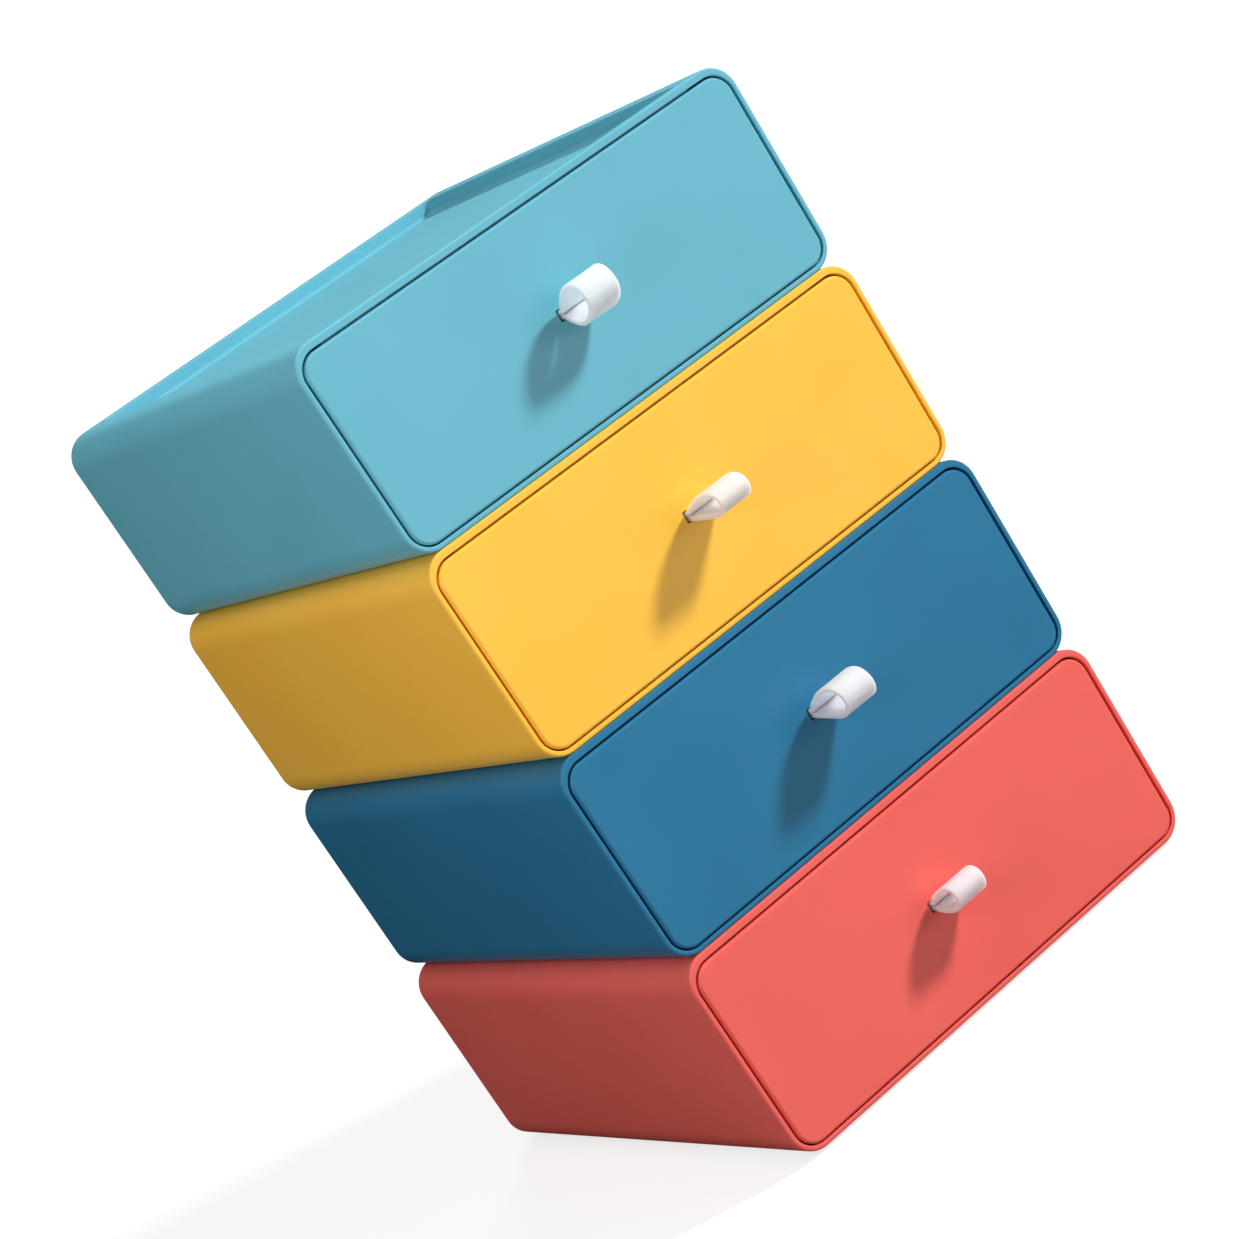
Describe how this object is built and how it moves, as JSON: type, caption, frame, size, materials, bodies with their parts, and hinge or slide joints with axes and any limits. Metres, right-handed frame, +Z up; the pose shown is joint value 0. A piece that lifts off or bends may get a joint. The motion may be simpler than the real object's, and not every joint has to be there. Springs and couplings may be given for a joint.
{
  "type": "desktop drawer stack",
  "caption": "Column of stacking desktop drawer units, each a rounded rectangular sleeve with a flush front and a strap pull loop, and a shallow tray on top.",
  "frame": {"origin": "on the surface that the stack stands on, under the middle of its outline, pull loops included", "axes": "+Z up; the drawers open towards -Y; +X to the right as seen from the front"},
  "size_m": [0.1796, 0.222, 0.291],
  "materials": {
    "moulded_plastic_red": "satin moulded ABS, coloured right through",
    "moulded_plastic_blue": "satin moulded ABS, coloured right through",
    "moulded_plastic_yellow": "satin moulded ABS, coloured right through",
    "moulded_plastic_aqua": "satin moulded ABS, coloured right through",
    "white_leatherette": "smooth white coated leatherette strap with cut edges",
    "clamp_plastic": "plain off-white moulded plastic",
    "screw_steel": "zinc-plated steel",
    "pad_rubber": "matt black rubber"
  },
  "bodies": {
    "red_unit": {"housing_red": "moulded_plastic_red", "base_pads_red": "pad_rubber"},
    "blue_unit": {"housing_blue": "moulded_plastic_blue", "base_pads_blue": "pad_rubber"},
    "yellow_unit": {"housing_yellow": "moulded_plastic_yellow", "base_pads_yellow": "pad_rubber"},
    "aqua_unit": {"housing_aqua": "moulded_plastic_aqua", "base_pads_aqua": "pad_rubber"},
    "red_drawer": {"drawer_red": "moulded_plastic_red", "pull_loop_red": "white_leatherette", "strap_clamp_red": "clamp_plastic", "clamp_screws_red": "screw_steel"},
    "blue_drawer": {"drawer_blue": "moulded_plastic_blue", "pull_loop_blue": "white_leatherette", "strap_clamp_blue": "clamp_plastic", "clamp_screws_blue": "screw_steel"},
    "yellow_drawer": {"drawer_yellow": "moulded_plastic_yellow", "pull_loop_yellow": "white_leatherette", "strap_clamp_yellow": "clamp_plastic", "clamp_screws_yellow": "screw_steel"},
    "aqua_drawer": {"drawer_aqua": "moulded_plastic_aqua", "pull_loop_aqua": "white_leatherette", "strap_clamp_aqua": "clamp_plastic", "clamp_screws_aqua": "screw_steel"}
  },
  "joints": [
    {"name": "blue_unit_lift", "type": "slide", "parent": "red_unit", "child": "blue_unit", "axis": [0, 0, 1], "range_m": [0, 0.06]},
    {"name": "yellow_unit_lift", "type": "slide", "parent": "blue_unit", "child": "yellow_unit", "axis": [0, 0, 1], "range_m": [0, 0.06]},
    {"name": "aqua_unit_lift", "type": "slide", "parent": "yellow_unit", "child": "aqua_unit", "axis": [0, 0, 1], "range_m": [0, 0.06]},
    {"name": "red_drawer_slide", "type": "slide", "parent": "red_unit", "child": "red_drawer", "axis": [0, -1, 0], "range_m": [0, 0.142]},
    {"name": "blue_drawer_slide", "type": "slide", "parent": "blue_unit", "child": "blue_drawer", "axis": [0, -1, 0], "range_m": [0, 0.142]},
    {"name": "yellow_drawer_slide", "type": "slide", "parent": "yellow_unit", "child": "yellow_drawer", "axis": [0, -1, 0], "range_m": [0, 0.142]},
    {"name": "aqua_drawer_slide", "type": "slide", "parent": "aqua_unit", "child": "aqua_drawer", "axis": [0, -1, 0], "range_m": [0, 0.142]}
  ]
}
